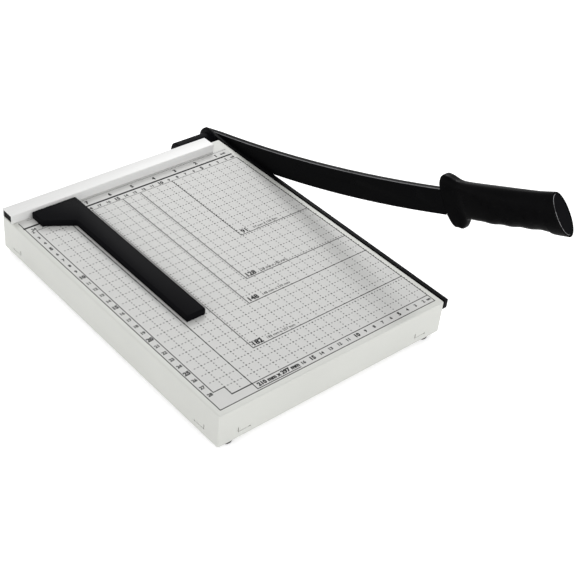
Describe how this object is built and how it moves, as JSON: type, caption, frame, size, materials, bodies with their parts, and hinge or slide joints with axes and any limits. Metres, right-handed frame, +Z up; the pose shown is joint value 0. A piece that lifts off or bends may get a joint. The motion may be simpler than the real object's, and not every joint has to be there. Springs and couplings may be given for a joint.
{
  "type": "guillotine paper cutter",
  "caption": "Desk guillotine paper cutter: flat steel table with a rear fence, sliding paper guide, fixed side knife and a long pivoted blade arm with a moulded handle.",
  "frame": {"origin": "on the surface that the cutter stands on, under the middle of the box round the whole cutter with its arm raised", "axes": "+X to the right, towards the cutting side; +Y to the rear, towards the fence; +Z up, away from the feet"},
  "size_m": [0.2678, 0.451, 0.1911],
  "materials": {
    "base_paint": "satin light grey paint",
    "white_plastic": "satin extruded white plastic",
    "black_steel": "satin black",
    "black_plastic": "moulded, semi-gloss black",
    "rubber_foot": "matt",
    "ferrite": "sintered dark grey",
    "bronze": "sintered bronze",
    "zinc": "zinc plated"
  },
  "bodies": {
    "root": {"base_shell": "base_paint", "bed_knife": "black_steel", "cover_collar": "zinc", "fence_plug_left": "black_plastic", "fence_plug_right": "black_plastic", "fence_screw_1": "zinc", "fence_screw_2": "zinc", "fence_screw_3": "zinc", "foot_block_front_left": "black_plastic", "foot_block_front_right": "black_plastic", "foot_block_rear_left": "black_plastic", "foot_block_rear_right": "black_plastic", "foot_front_left": "rubber_foot", "foot_front_right": "rubber_foot", "foot_rear_left": "rubber_foot", "foot_rear_right": "rubber_foot", "foot_screw_front_left": "zinc", "foot_screw_front_right": "zinc", "foot_screw_rear_left": "zinc", "foot_screw_rear_right": "zinc", "knife_nut_1": "zinc", "knife_nut_2": "zinc", "knife_nut_3": "zinc", "knife_nut_4": "zinc", "knife_screw_1": "black_steel", "knife_screw_2": "black_steel", "knife_screw_3": "black_steel", "knife_screw_4": "black_steel", "pivot_bush": "bronze", "rear_fence": "white_plastic", "spring_cover": "black_plastic", "table_stiffener_front": "base_paint", "table_stiffener_rear": "base_paint"},
    "blade_arm": {"arm_carrier": "black_steel", "blade": "black_steel", "blade_rivet_1": "black_steel", "blade_rivet_2": "black_steel", "blade_rivet_3": "black_steel", "blade_rivet_4": "black_steel", "handle_end_cap": "black_plastic", "handle_grip": "black_plastic", "handle_screw_1": "zinc", "handle_screw_2": "zinc", "pivot_bolt": "zinc", "pivot_lock_nut": "zinc", "pivot_washer_outer": "zinc", "pressure_spring": "zinc", "spring_washer_inner": "zinc", "spring_washer_outer": "zinc"},
    "guide": {"guide_magnet_front": "ferrite", "guide_magnet_middle": "ferrite", "guide_magnet_rear": "ferrite", "paper_guide": "black_plastic"}
  },
  "joints": [
    {"name": "blade_hinge", "type": "hinge", "parent": "root", "child": "blade_arm", "pos_m": [0.12035, 0.209, 0.0285], "axis": [-1, 0, 0], "range_deg": [-14.5, 45]},
    {"name": "guide_slide", "type": "slide", "parent": "root", "child": "guide", "axis": [1, 0, 0], "range_m": [-0.019, 0.17]}
  ]
}
